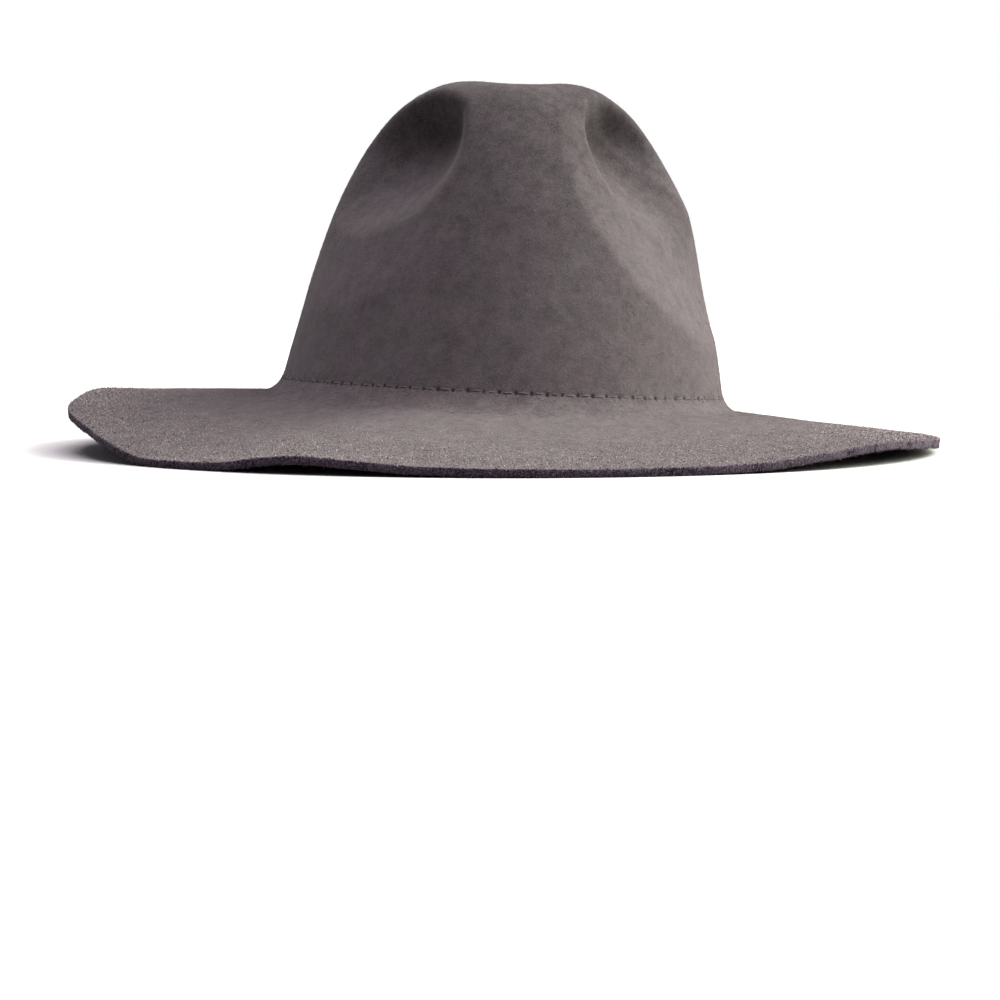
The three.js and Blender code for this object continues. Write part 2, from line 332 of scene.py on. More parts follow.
def skin(hat, degrees, place):
    """Outside of the whole hat: place runs from 0 at the top to 1 where the break starts, to 2 where it ends
    and to 3 at the cut edge. The break is a parabola between wall and brim, aimed at the crown's foot."""
    degrees, place = np.broadcast_arrays(np.asarray(degrees, float), np.asarray(place, float))
    start, end = break_ends(hat)
    t = np.clip(place - 1, 0, 1)[..., None]
    wall = crown(hat, degrees, np.minimum(place, 1) * start)
    foot = brim(hat, degrees, 0)
    flat = brim(hat, degrees, end + np.maximum(place - 2, 0) * (1 - end))
    return (1 - t) ** 2 * wall + 2 * t * (1 - t) * foot + t ** 2 * flat


def directions(surface, hat, degrees, place, last):
    """Unit vectors out of a surface and down along it, from small steps in its two parameters."""
    step = 0.004
    after = surface(hat, degrees, np.minimum(place + step, last))
    before = surface(hat, degrees, np.maximum(place - step, step / 4))
    downwards = after - before
    round_ = surface(hat, degrees + 0.5, place) - surface(hat, degrees - 0.5, place)
    return unit(np.cross(downwards, round_)), unit(downwards)


def waves(points, wavelength, count, seed):
    """Soft unevenness between about -1 and 1: sine waves in random directions, added up and divided by the
    root of half their count."""
    rng = np.random.default_rng(seed)
    way = unit(rng.normal(size=(count, 3)))
    way *= 2 * np.pi / (wavelength * rng.uniform(0.7, 1.4, (count, 1)))
    phase = rng.uniform(0, 2 * np.pi, count)
    total = sum(np.sin(points @ w + p) for w, p in zip(way, phase))
    return total * math.sqrt(2 / count)


def tipped(hat, points):
    """Points turned about the front to back line by the lean."""
    x, y, z = np.moveaxis(points, -1, 0)
    c, s = math.cos(hat.lean), math.sin(hat.lean)
    return np.stack([x * c + z * s, y, z * c - x * s], -1)


def even_azimuths(hat, count):
    """Azimuths in degrees at equal distances round the crown's foot, from the back, round by the right."""
    fine = np.linspace(-180, 180, 7201)
    foot = brim(hat, fine, 0)
    run = np.concatenate([[0], np.cumsum(np.linalg.norm(np.diff(foot, axis=0), axis=1))])
    return np.interp(np.arange(count) / count * run[-1], run, fine)


def row_place(hat, height):
    """Place on the break's curve at a height above the foot: the parabola's height is its reach times the
    square of what is left of it."""
    return 2 - np.sqrt(height / hat.brim_break)


def new_object(name, data):
    """An object of a mesh, a lamp or a camera, put into the scene."""
    made = bpy.data.objects.new(name, data)
    bpy.context.scene.collection.objects.link(made)
    return made


def new_piece(name, points, faces, uv=None, period=1.0):
    """A smooth mesh object at the origin, from arrays, with its coordinates in the mesh. Where a face crosses
    the seam of its UV, the corners past the seam go on counting from the period."""
    mesh = bpy.data.meshes.new(name)
    mesh.from_pydata(points.reshape(-1, 3), [], faces)
    if uv is not None:
        layer = mesh.uv_layers.new(name="UVMap")
        corner = np.empty(len(mesh.loops), int)
        mesh.loops.foreach_get("vertex_index", corner)
        starts, sizes = (np.empty(len(mesh.polygons), int) for _ in range(2))
        mesh.polygons.foreach_get("loop_start", starts)
        mesh.polygons.foreach_get("loop_total", sizes)
        uv = uv.reshape(-1, 2)[corner]
        top = np.repeat(np.maximum.reduceat(uv[:, 0], starts), sizes)
        uv[:, 0] += period * (top - uv[:, 0] > period / 2)
        layer.data.foreach_set("uv", uv.ravel())
    mesh.polygons.foreach_set("use_smooth", np.ones(len(mesh.polygons), bool))
    mesh.update()
    return new_object(name, mesh)


def ring_faces(rings, columns, closed=False):
    """Quads between neighbouring rings of points, each ring closed on itself."""
    first = np.arange(rings if closed else rings - 1)[:, None] * columns
    below = (first + columns) % (rings * columns)
    column = np.arange(columns)[None, :]
    after = (column + 1) % columns
    corners = (first + column, below + column, below + after, first + after)
    return np.stack(np.broadcast_arrays(*corners), -1).reshape(-1, 4)


class StandingHat:
    """The hat as it stands in the frame, worked out once for every piece that lies on it."""

    columns = 360

    def __init__(self, scene):
        hat = self.hat = scene.hat_shape
        self.sewing = scene.hat_sewing
        self.azimuths = even_azimuths(hat, self.columns)
        self.runs = np.arange(self.columns) / self.columns
        coarse = np.linspace(-180, 180, 721)
        edge = tipped(hat, skin(hat, coarse, 3.0))
        out, _ = directions(skin, hat, coarse, np.array(3.0), 3)
        under = tipped(hat, skin(hat, coarse, 3.0) - out * hat.brim_felt)
        middle = (edge.min(0) + edge.max(0)) / 2
        self.shift = np.array([-middle[0], -middle[1], -under[:, 2].min() - hat.rest_flat])

    def stood(self, points):
        """Points of the upright hat tipped by the lean and moved into the frame."""
        return tipped(self.hat, points) + self.shift

    def azimuth(self, runs):
        """Azimuth at a share of the way round the crown's foot, from the back."""
        return np.interp(np.mod(runs, 1), np.append(self.runs, 1), np.append(self.azimuths, 180))

    def run(self, degrees):
        """Share of the way round the crown's foot at an azimuth, from the back."""
        return np.interp(degrees, self.azimuths, self.runs, period=360)

    def needle_pits(self, degrees, place):
        """Share of the needle dimple's depth: bell curves of the distance to the nearest hole, and a shallow
        groove along the row of stitches."""
        hat, sewing = self.hat, self.sewing
        pitch = foot_girth(hat) / sewing.stitches
        along = ((self.run(degrees) * sewing.stitches + 0.5) % 1 - 0.5) * pitch
        away = (place - row_place(hat, sewing.row_height)) * hat.brim_break * BREAK_RUN
        groove = 0.12 * np.exp(-(away / (1.5 * sewing.hole)) ** 2)
        return groove + 0.88 * np.exp(-(along ** 2 + away ** 2) / sewing.hole ** 2)

    def wall(self, degrees, place, share=0.0, step=0.0, pits=False):
        """Points in the felt wall at a share of its thickness under the skin, and a step along the skin past
        the cut edge. Where the underside would go through the floor, the whole wall is lifted."""
        hat = self.hat
        degrees, place, share, step = np.broadcast_arrays(degrees, place, share, step)
        out, down = directions(skin, hat, degrees, place, 3)
        points = skin(hat, degrees, place)
        uneven = waves(points, 60 * MM, 12, 3) + 0.35 * waves(points, 22 * MM, 16, 5)
        felt = hat.crown_felt + (hat.brim_felt - hat.crown_felt) * np.clip(place - 1, 0, 1)
        points = points + out * (hat.lump * uneven)[..., None]
        under = self.stood(points - out * felt[..., None])
        points = points - out * (share * felt)[..., None] + down * step[..., None]
        if pits:
            points = points - out * (self.needle_pits(degrees, place) * self.sewing.hole_depth)[..., None]
        points = self.stood(points)
        points[..., 2] = np.maximum(points[..., 2] + self.floor_lift(under[..., 2]), 0)
        return points

    def floor_lift(self, height):
        """How far felt at a height above the floor is lifted by it: nothing high above it, all the way up
        from far below it, and between them a parabola that joins the two, because felt bends smoothly."""
        reach = self.hat.rest_bend
        near = np.clip(reach - height, 0, 2 * reach) ** 2 / (4 * reach)
        return np.where(height < -reach, -height, near)


def felt_places(hat, sewing):
    """Rows of the felt's outside: close together round the stitch row and the break, wider elsewhere."""
    row = row_place(hat, sewing.row_height)
    near = row + np.linspace(-0.16, 0.16, 9)
    turn = np.linspace(1, 2, 15)
    turn = turn[np.abs(turn - row) > 0.17]
    last = 3 - hat.edge_round / hat.brim_width
    return np.sort(np.concatenate([np.linspace(0.008, 1, 96)[:-1], near, turn, np.linspace(2, last, 61)[1:]]))


def make_felt(standing, name):
    """The felt wall as one closed mesh: outside, cut edge, inside, and a fan of triangles at each pole."""
    hat = standing.hat
    azimuths = standing.azimuths[None, :]
    outer_places = felt_places(hat, standing.sewing)[:, None]
    outer = standing.wall(azimuths, outer_places, pits=True)
    # The cut edge is a half turn of a squared circle from the outside face to the inside face
    turn = np.radians(np.linspace(-90, 90, 9)[1:-1, None])
    bulge = hat.edge_round * np.abs(np.cos(turn)) ** 0.5
    last = outer_places[-1, 0]
    rim = standing.wall(azimuths, last)
    grain = waves(rim, 1.9 * MM, 24, 11) + waves(rim, 5 * MM, 9, 12)
    edge = standing.wall(azimuths, last, (1 + np.sin(turn)) / 2, bulge + hat.fray * grain * np.cos(turn))
    spans = (np.linspace(0.02, 1, 30)[:-1], np.linspace(1, 2, 9)[:-1], np.linspace(2, last, 18))
    inner_places = np.concatenate(spans)[::-1, None]
    inner = standing.wall(azimuths, inner_places, 1.0)
    rings = np.concatenate([outer, edge, inner])
    rows, columns = rings.shape[:2]
    poles = np.stack([rings[0].mean(0), rings[-1].mean(0)])
    column = np.arange(columns)
    after = (column + 1) % columns
    first, final = np.full(columns, rows * columns), np.full(columns, rows * columns + 1)
    base = (rows - 1) * columns
    faces = ring_faces(rows, columns).tolist()
    faces += np.stack([first, column, after], -1).tolist()
    faces += np.stack([final, base + after, base + column], -1).tolist()
    v = np.concatenate([outer_places[:, 0], np.full(len(edge), 3.0), 6 - inner_places[:, 0]])
    uv = np.stack(np.broadcast_arrays(standing.runs[None, :], v[:, None]), -1).reshape(-1, 2)
    uv = np.concatenate([uv, [[0.5, 0], [0.5, 6]]])
    piece = new_piece(name, np.concatenate([rings.reshape(-1, 3), poles]), faces, uv)
    raw = np.zeros(rows * columns + 2)
    raw[outer_places.size * columns:(outer_places.size + len(edge)) * columns] = 1
    layer = piece.data.attributes.new("cut_edge", "FLOAT", "POINT")
    layer.data.foreach_set("value", raw)
    return piece


def band_section(sewing):
    """Closed outline of the ribbon's cut across its width, as heights and depths: two flat faces and two half
    round edges."""
    half = sewing.band_thickness / 2
    low, high = sewing.band_lift + half, sewing.band_lift + sewing.band_height - half
    up = np.linspace(low, high, 14)
    turn = np.radians(np.linspace(0, 180, 8)[1:-1])
    top = np.stack([high + half * np.sin(turn), half - half * np.cos(turn)], -1)
    bottom = np.stack([low - half * np.sin(turn), half + half * np.cos(turn)], -1)
    outer = np.stack([up, np.zeros(14)], -1)
    inner = np.stack([up[::-1], np.full(14, 2 * half)], -1)
    return np.concatenate([outer, top, inner, bottom])


def place_at_height(hat, height):
    """Place down the upright crown's wall of a height above its foot."""
    return 1 - np.sqrt(2 * np.arcsin((height / hat.height) ** 2) / np.pi)


def band_points(standing, degrees, height, depth):
    """Points behind the felt at a height above the foot and a depth from the ribbon's outer face. The ends
    of the ribbon overlap at the back, which makes it one fold thicker there, and its free upper edge leans
    in with the cube of the height."""
    hat, sewing = standing.hat, standing.sewing
    degrees, height, depth = np.broadcast_arrays(degrees, height, depth)
    place = place_at_height(hat, height)
    out, _ = directions(crown, hat, degrees, place, 1)
    rise = (height - sewing.band_lift) / sewing.band_height
    lap = smooth_step((sewing.lap - np.abs(np.radians(wrapped(degrees - 180))) * hat.half_length) / (1 * MM))
    inner = smooth_step(2 * depth / sewing.band_thickness - 0.5)
    depth = depth + sewing.band_lean * np.clip(rise, 0, 1) ** 3 + sewing.lap_rise * lap * inner
    points = crown(hat, degrees, place) - out * (hat.crown_felt + sewing.band_gap + depth)[..., None]
    return standing.stood(points)


def make_band(standing, name):
    """The ribbon as one closed ring, with UV that counts its ribs round and its width up."""
    sewing = standing.sewing
    section = band_section(sewing)
    azimuths = even_azimuths(standing.hat, 720)[None, :]
    rings = band_points(standing, azimuths, section[:, :1], section[:, 1:])
    rows, columns = rings.shape[:2]
    faces = ring_faces(rows, columns, closed=True)
    ribs = round(foot_girth(standing.hat) / sewing.rib_pitch)
    u = np.arange(columns) / columns * ribs
    v = (section[:, 0] - sewing.band_lift) / sewing.band_height
    uv = np.stack(np.broadcast_arrays(u[None, :], v[:, None]), -1)
    return new_piece(name, rings, faces[:, ::-1].tolist(), uv, ribs)


def tubes(paths, radius, sides):
    """Round bars with tapered closed ends along many paths at once, as points and faces. Paths are an array
    of bars by stations by three; each ring lies square to its path."""
    bars, stations = paths.shape[:2]
    along = unit(np.gradient(paths, axis=1))
    aside = unit(np.cross(along, [0.0, 0.0, 1.0]))
    upward = np.cross(aside, along)
    turn = np.arange(sides) / sides * 2 * np.pi
    taper = np.ones(stations)
    taper[[0, -1]] = 0.35
    around = aside[:, :, None] * np.cos(turn)[:, None] + upward[:, :, None] * np.sin(turn)[:, None]
    rings = paths[:, :, None] + around * (radius * taper)[:, None, None]
    quads = ring_faces(stations, sides)
    start = (np.arange(bars) * stations * sides)[:, None, None]
    sides_of = (start + quads[None]).reshape(-1, 4).tolist()
    last = (stations - 1) * sides
    caps = np.stack([np.arange(sides)[::-1], last + np.arange(sides)])
    return rings.reshape(-1, 3), sides_of + (start + caps[None]).reshape(-1, sides).tolist()


def make_stitches(standing, name):
    """Running stitches through felt and ribbon: short bars on the felt that sink into the needle holes at
    both ends, and between them short bars on the ribbon's inner face."""
    hat, sewing = standing.hat, standing.sewing
    rng = np.random.default_rng(21)
    count = sewing.stitches
    across = np.linspace(-0.5, 0.5, 9)[None, :]
    reach = rng.uniform(0.45, 0.75, (count, 1))
    runs = (np.arange(count)[:, None] + 0.5 + across * reach) / count
    degrees = standing.azimuth(runs)
    sink = np.abs(across * 2) ** 6
    lie = rng.uniform(-0.2, 0.4, (count, 1))
    wander = rng.normal(0, 0.12 * MM, (count, 1)) + rng.normal(0, 0.12 * MM, (count, 1)) * across
    place = row_place(hat, sewing.row_height + wander)
    out, _ = directions(skin, hat, degrees, place, 3)
    height = sewing.thread * lie - sewing.hole_depth * 0.8 * sink
    outer = standing.wall(degrees, place) + tipped(hat, out) * height[..., None]
    depth = sewing.band_thickness + sewing.thread * 0.3 - sewing.thread * 0.9 * sink
    shifted = standing.azimuth(runs + 0.5 / count)
    inner = band_points(standing, shifted, np.full_like(shifted, sewing.row_height), depth)
    points, faces = tubes(np.concatenate([outer, inner]), sewing.thread / 2, 6)
    return new_piece(name, points, faces)


def make_fibres(standing, name, rows, count, seed):
    """Loose wool fibres on the felt between two places, each a thin three-sided bar that starts in the
    surface, bends aside with the square of its run and ends just above it."""
    hat = standing.hat
    rng = np.random.default_rng(seed)
    degrees = standing.azimuth(rng.uniform(0, 1, count))
    place = rng.uniform(*rows, count)
    out, down = directions(skin, hat, degrees, place, 3)
    side = np.cross(out, down)
    turn = rng.uniform(0, 2 * np.pi, count)[:, None]
    lying = np.cos(turn) * down + np.sin(turn) * side
    bent = np.cross(out, lying) * rng.normal(0, 0.5, (count, 1))
    reach = hat.fibre_length * rng.uniform(0.4, 1.3, (count, 1, 1))
    t = np.linspace(0, 1, 3)[None, :, None]
    rise = hat.fibre_rise * rng.uniform(0.15, 1, (count, 1, 1)) * t
    paths = reach * (t * lying[:, None] + t ** 2 * bent[:, None]) + rise * out[:, None]
    paths = standing.wall(degrees, place)[:, None] + tipped(hat, paths)
    points, faces = tubes(paths, hat.fibre_thickness / 2, 3)
    return new_piece(name, points, faces)


def make_tufts(standing, name, rows, count, seed, edge=False):
    """Short tufts of wool, each a three-sided spike with its foot in the felt. On the brim they stand up and
    grow with a power of the way to the cut edge; on the cut edge they point out of it."""
    hat = standing.hat
    rng = np.random.default_rng(seed)
    degrees = standing.azimuth(rng.uniform(0, 1, count))
    place = rows[0] + (rows[1] - rows[0]) * rng.uniform(0, 1, count) ** 0.7
    share = rng.uniform(-0.02, 1.02, count) if edge else np.full(count, 0.04)
    out, down = directions(skin, hat, degrees, place, 3)
    side = np.cross(out, down)
    up, first, second = (down, side, out) if edge else (out, down, side)
    lean = rng.normal(0, 1.0 if edge else 0.45, (2, count, 1))
    grown = np.full(count, 0.75) if edge else 0.3 + 0.7 * ((place - rows[0]) / (rows[1] - rows[0])) ** 1.5
    height = (hat.tuft_height * grown * rng.uniform(0.3, 1.3, count))[:, None]
    width = (hat.tuft_width * rng.uniform(0.6, 1.3, count))[:, None, None]
    turn = (rng.uniform(0, 2 * np.pi, (count, 1)) + np.arange(3) * 2 * np.pi / 3)[..., None]
    ring = width / 2 * (np.cos(turn) * first[:, None] + np.sin(turn) * second[:, None])
    tip = height * (up + lean[0] * first + lean[1] * second)
    foot = standing.wall(degrees, place, share, hat.edge_round * 0.5 if edge else 0.0)
    points = foot[:, None] + tipped(hat, np.concatenate([ring, tip[:, None]], axis=1))
    points[..., 2] = np.maximum(points[..., 2], 0)
    spike = np.array([(0, 1, 3), (1, 2, 3), (2, 0, 3), (2, 1, 0)])
    faces = (4 * np.arange(count)[:, None, None] + spike).reshape(-1, 3).tolist()
    return new_piece(name, points, faces)


def node(tree, kind, **values):
    """A shader node with its plain settings."""
    made = tree.nodes.new(kind)
    for name, value in values.items():
        setattr(made, name, value)
    return made


def set_inputs(made, **values):
    """Values of a node's sockets by name, with underscores for spaces."""
    for name, value in values.items():
        made.inputs[name.replace("_", " ")].default_value = value


def feed(tree, source, target):
    """Fills an input socket from an output socket, a number or the three numbers of a colour."""
    if isinstance(source, bpy.types.NodeSocket):
        tree.links.new(source, target)
    else:
        target.default_value = (*source, 1) if target.type == "RGBA" else source


def maths(tree, operation, *values, clamp=False):
    """A Math node on sockets or plain numbers, returned as its output."""
    made = node(tree, "ShaderNodeMath", operation=operation, use_clamp=clamp)
    for socket, value in zip(made.inputs, values):
        feed(tree, value, socket)
    return made.outputs[0]


def remap(tree, value, low, high, to_low=0.0, to_high=1.0):
    """Value stretched from one span to another and kept within it."""
    made = node(tree, "ShaderNodeMapRange", interpolation_type="SMOOTHSTEP")
    for socket, number in zip(made.inputs[1:5], (low, high, to_low, to_high)):
        socket.default_value = number
    feed(tree, value, made.inputs[0])
    return made.outputs[0]


def blend_colours(tree, share, first, second, way="MIX"):
    """Blend of two colours by a share, each a socket or plain numbers, in one of the Mix node's ways."""
    made = node(tree, "ShaderNodeMix", data_type="RGBA", blend_type=way)
    below, above = (i for i in made.inputs if i.type == "RGBA")
    for source, target in ((share, made.inputs["Factor"]), (first, below), (second, above)):
        feed(tree, source, target)
    return next(o for o in made.outputs if o.type == "RGBA")


def noise(tree, vector, size, detail=2.0, roughness=0.5, rotation=(0, 0, 0), stretch=(1, 1, 1)):
    """Noise with a grain of a size in metres, turned and stretched, as a value about 0.5. Each step of detail
    halves the grain and keeps a share of its strength, the roughness."""
    place = node(tree, "ShaderNodeMapping")
    set_inputs(place, Rotation=rotation, Scale=tuple(1 / (size * s) for s in stretch))
    feed(tree, vector, place.inputs["Vector"])
    made = node(tree, "ShaderNodeTexNoise", noise_dimensions="3D")
    set_inputs(made, Scale=1.0, Detail=detail, Roughness=roughness)
    feed(tree, place.outputs[0], made.inputs["Vector"])
    return made.outputs["Fac"]


def new_group(name, outputs):
    """An empty shader node group that turns a vector into values, and its two end nodes."""
    group = bpy.data.node_groups.new(name, "ShaderNodeTree")
    group.interface.new_socket("Vector", in_out="INPUT", socket_type="NodeSocketVector")
    for socket in outputs:
        group.interface.new_socket(socket, in_out="OUTPUT", socket_type="NodeSocketFloat")
    return group, node(group, "NodeGroupInput"), node(group, "NodeGroupOutput")


def fibre_group():
    """Matted fibres, as three values between 0 and 1. Smoke is soft mottling from 8 mm down to single
    fibres, Nap the short upright pile, and Hairs thin light streaks that lie in several directions."""
    group, entry, leave = new_group("matted_fibres", ("Smoke", "Nap", "Hairs"))
    vector = entry.outputs["Vector"]
    feed(group, noise(group, vector, 8 * MM, 4.8, 0.92), leave.inputs["Smoke"])
    feed(group, noise(group, vector, 0.75 * MM, 2.0, 0.7), leave.inputs["Nap"])
    turns = ((0.4, 0.2, 0.0), (1.3, 0.9, 0.8), (0.2, 1.5, 2.1))
    first, second, third = (
        remap(group, noise(group, vector, 0.3 * MM, 0.0, 0.5, turn, (1, 9, 1)), 0.60, 0.78) for turn in turns)
    hairs = maths(group, "MAXIMUM", maths(group, "MAXIMUM", first, second), third)
    feed(group, hairs, leave.inputs["Hairs"])
    return group


def tint_group():
    """Slow drift of the wool's colour between 0 and 1, over patches of about 15 mm."""
    group, entry, leave = new_group("wool_tint", ("Patches",))
    patches = noise(group, entry.outputs["Vector"], 14 * MM, 2.0, 0.6)
    feed(group, remap(group, patches, 0.36, 0.64), leave.inputs["Patches"])
    return group


def use_group(tree, group, vector):
    """A group node in a material, fed with a vector."""
    made = node(tree, "ShaderNodeGroup")
    made.node_tree = group
    feed(tree, vector, made.inputs["Vector"])
    return made


def new_material(name):
    """A node material, its tree and its shader."""
    material = bpy.data.materials.new(name)
    material.use_nodes = True
    tree = material.node_tree
    return material, tree, tree.nodes["Principled BSDF"]


def add_bump(tree, shader, height, strength, distance):
    """Bump from a height socket into the shader's normal."""
    bump = node(tree, "ShaderNodeBump")
    set_inputs(bump, Strength=strength, Distance=distance)
    feed(tree, height, bump.inputs["Height"])
    feed(tree, bump.outputs["Normal"], shader.inputs["Normal"])


def scaled(tint, share):
    """A colour made lighter or darker by a share."""
    return tuple(share * part for part in tint)


def swing(tree, value, strength):
    """A value's distance from one half, times a strength that is a number or a socket."""
    return maths(tree, "MULTIPLY", maths(tree, "SUBTRACT", value, 0.5), strength)


def needle_hole_shade(tree, place, standing):
    """Painted shade in the needle holes, from the felt's UV: the nearest whole stitch gives each hole its own
    offset and size, and the hole fades out with the squared distance from its middle in radii."""
    sewing, hat = standing.sewing, standing.hat
    count = sewing.stitches
    pitch = foot_girth(hat) / count / sewing.hole
    along = maths(tree, "MULTIPLY", place.outputs["X"], count)
    nearest = maths(tree, "ROUND", along)
    chance = node(tree, "ShaderNodeTexWhiteNoise", noise_dimensions="1D")
    feed(tree, maths(tree, "MODULO", nearest, count), chance.inputs["W"])
    parts = node(tree, "ShaderNodeSeparateColor")
    feed(tree, chance.outputs["Color"], parts.inputs[0])
    along = maths(tree, "MULTIPLY", maths(tree, "SUBTRACT", along, nearest), pitch)
    along = maths(tree, "ADD", along, swing(tree, parts.outputs[0], 0.7))
    row = row_place(hat, sewing.row_height)
    away = maths(tree, "MULTIPLY", maths(tree, "SUBTRACT", place.outputs["Y"], row),
                 BREAK_RUN * hat.brim_break / sewing.hole)
    away = maths(tree, "ADD", away, swing(tree, parts.outputs[1], 0.6))
    square = maths(tree, "ADD", maths(tree, "MULTIPLY", along, along), maths(tree, "MULTIPLY", away, away))
    size = remap(tree, parts.outputs[2], 0, 1, 0.8, 1.4)
    return remap(tree, maths(tree, "DIVIDE", square, size), 1.8, 0.0, 0.0, 0.9)


def felt_material(colours, fibres, tints, standing):
    """Heathered wool felt: dark and light fibres matted together, with painted shade that darkens it towards
    the top, with a coarser nap towards the cut edge, dark raw wool at the cut edge, and painted shade in the
    needle holes."""
    material, tree, shader = new_material("heathered_felt")
    set_inputs(shader, Roughness=0.95, Specular_IOR_Level=0.12, Sheen_Weight=0.35, Sheen_Roughness=0.5,
               Sheen_Tint=(0.62, 0.57, 0.58, 1))
    where = node(tree, "ShaderNodeTexCoord")
    place = node(tree, "ShaderNodeSeparateXYZ")
    feed(tree, where.outputs["UV"], place.inputs[0])
    felt = use_group(tree, fibres, where.outputs["Object"])
    drift = use_group(tree, tints, where.outputs["Object"])
    smoke, nap, hairs = (felt.outputs[name] for name in ("Smoke", "Nap", "Hairs"))
    cut = node(tree, "ShaderNodeAttribute", attribute_name="cut_edge").outputs["Fac"]
    hole = needle_hole_shade(tree, place, standing)
    raised = remap(tree, place.outputs["Y"], 2.1, 2.9)
    # Painted shade: the crown's colour is darker towards its top.
    level = maths(tree, "ADD", remap(tree, place.outputs["Y"], 0.05, 0.88, CROWN_TONE_AND_SHADE[0], CROWN_TONE_AND_SHADE[1]),
                  remap(tree, place.outputs["Y"], 1.25, 1.8, 0, BRIM_TONE - CROWN_TONE_AND_SHADE[1]))
    tone = maths(tree, "ADD", level, swing(tree, smoke, remap(tree, raised, 0, 1, *MOTTLE_SWING)))
    tone = maths(tree, "ADD", tone, swing(tree, nap, remap(tree, raised, 0, 1, *NAP_SWING)))
    tone = maths(tree, "ADD", tone, maths(tree, "MULTIPLY", hairs, 0.12), clamp=True)
    base = blend_colours(tree, tone, colours.fibre_dark, colours.fibre_light)
    tint = blend_colours(tree, drift.outputs["Patches"], colours.cool_patch, colours.warm_patch)
    base = blend_colours(tree, 1.0, base, tint, "MULTIPLY")
    wool = remap(tree, maths(tree, "ADD", nap, maths(tree, "MULTIPLY", hairs, 0.3)), 0.35, 0.85)
    raw = blend_colours(tree, wool, *(scaled(colours.cut_edge, share) for share in EDGE_WOOL))
    ragged = maths(tree, "ADD", cut, swing(tree, nap, 2.0))
    base = blend_colours(tree, remap(tree, ragged, 0.35, 0.65), base, raw)
    # Painted shade: the needle holes are darkened towards a third of the cut edge's colour.
    base = blend_colours(tree, hole, base, scaled(colours.cut_edge, 0.3))
    feed(tree, base, shader.inputs["Base Color"])
    height = maths(tree, "ADD", maths(tree, "MULTIPLY", nap, remap(tree, raised, 0, 1, 0.4, 1)), smoke)
    feed(tree, remap(tree, nap, 0.3, 0.7, 0.88, 1.0), shader.inputs["Roughness"])
    add_bump(tree, shader, maths(tree, "ADD", height, maths(tree, "MULTIPLY", hairs, 0.3)), 0.5, 0.4 * MM)
    return material


def ribbon_material(colours):
    """Grosgrain: rounded ribs across the ribbon, with painted shade that darkens it between them, crossed by
    fine weave.
    """
    material, tree, shader = new_material("grosgrain_ribbon")
    set_inputs(shader, Roughness=0.62, Specular_IOR_Level=0.35, Sheen_Weight=0.2, Sheen_Roughness=0.4)
    where = node(tree, "ShaderNodeTexCoord")
    place = node(tree, "ShaderNodeSeparateXYZ")
    feed(tree, where.outputs["UV"], place.inputs[0])
    rib = maths(tree, "ABSOLUTE", maths(tree, "SINE", maths(tree, "MULTIPLY", place.outputs["X"], math.pi)))
    weave = maths(tree, "ABSOLUTE", maths(tree, "SINE", maths(tree, "MULTIPLY", place.outputs["Y"], 170.0)))
    fine = noise(tree, where.outputs["Object"], 0.5 * MM, 2.0)
    height = maths(tree, "ADD", maths(tree, "POWER", rib, 0.6), maths(tree, "MULTIPLY", weave, 0.15))
    # Painted shade: the colour follows the rib's height, darker in the grooves between ribs.
    tone = maths(tree, "ADD", maths(tree, "MULTIPLY", rib, 0.6), maths(tree, "MULTIPLY", fine, 0.4))
    base = blend_colours(tree, tone, scaled(colours.ribbon, 0.4), scaled(colours.ribbon, 1.8))
    feed(tree, base, shader.inputs["Base Color"])
    add_bump(tree, shader, height, 0.7, 0.25 * MM)
    return material


def wool_material(name, dark, light):
    """Single fibres or tufts of wool, each a little lighter or darker than the next."""
    material, tree, shader = new_material(name)
    set_inputs(shader, Roughness=0.9, Specular_IOR_Level=0.15)
    where = node(tree, "ShaderNodeTexCoord")
    uneven = remap(tree, noise(tree, where.outputs["Object"], 0.9 * MM, 1.0), 0.38, 0.62)
    feed(tree, blend_colours(tree, uneven, dark, light), shader.inputs["Base Color"])
    return material


def thread_material(colours):
    """Matt spun thread with a slight unevenness along it."""
    material, tree, shader = new_material("sewing_thread")
    set_inputs(shader, Roughness=0.7, Specular_IOR_Level=0.3)
    where = node(tree, "ShaderNodeTexCoord")
    uneven = noise(tree, where.outputs["Object"], 0.4 * MM, 2.0)
    base = blend_colours(tree, uneven, scaled(colours.thread, 0.5), scaled(colours.thread, 1.3))
    feed(tree, base, shader.inputs["Base Color"])
    add_bump(tree, shader, uneven, 0.5, 0.1 * MM)
    return material


class HAT_OT_felt(bpy.types.Operator):
    """Make the felt crown and brim"""

    bl_idname = "hat.felt"
    bl_label = "Felt crown and brim"

    def execute(self, context):
        scene = context.scene
        standing = StandingHat(scene)
        piece = make_felt(standing, "felt_crown_and_brim")
        piece.data.materials.append(felt_material(scene.hat_colours, fibre_group(), tint_group(), standing))
        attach(piece, "root")
        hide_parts("felt_body")
        return {"FINISHED"}


class HAT_OT_sweatband(bpy.types.Operator):
    """Make the ribbon sweatband"""

    bl_idname = "hat.sweatband"
    bl_label = "Sweatband"

    def execute(self, context):
        scene = context.scene
        piece = make_band(StandingHat(scene), "ribbon_sweatband")
        piece.data.materials.append(ribbon_material(scene.hat_colours))
        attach(piece, "root")
        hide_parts("sweatband")
        return {"FINISHED"}


class HAT_OT_stitches(bpy.types.Operator):
    """Make the stitches that hold the sweatband"""

    bl_idname = "hat.stitches"
    bl_label = "Stitches"

    def execute(self, context):
        scene = context.scene
        piece = make_stitches(StandingHat(scene), "band_stitches")
        piece.data.materials.append(thread_material(scene.hat_colours))
        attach(piece, "root")
        return {"FINISHED"}


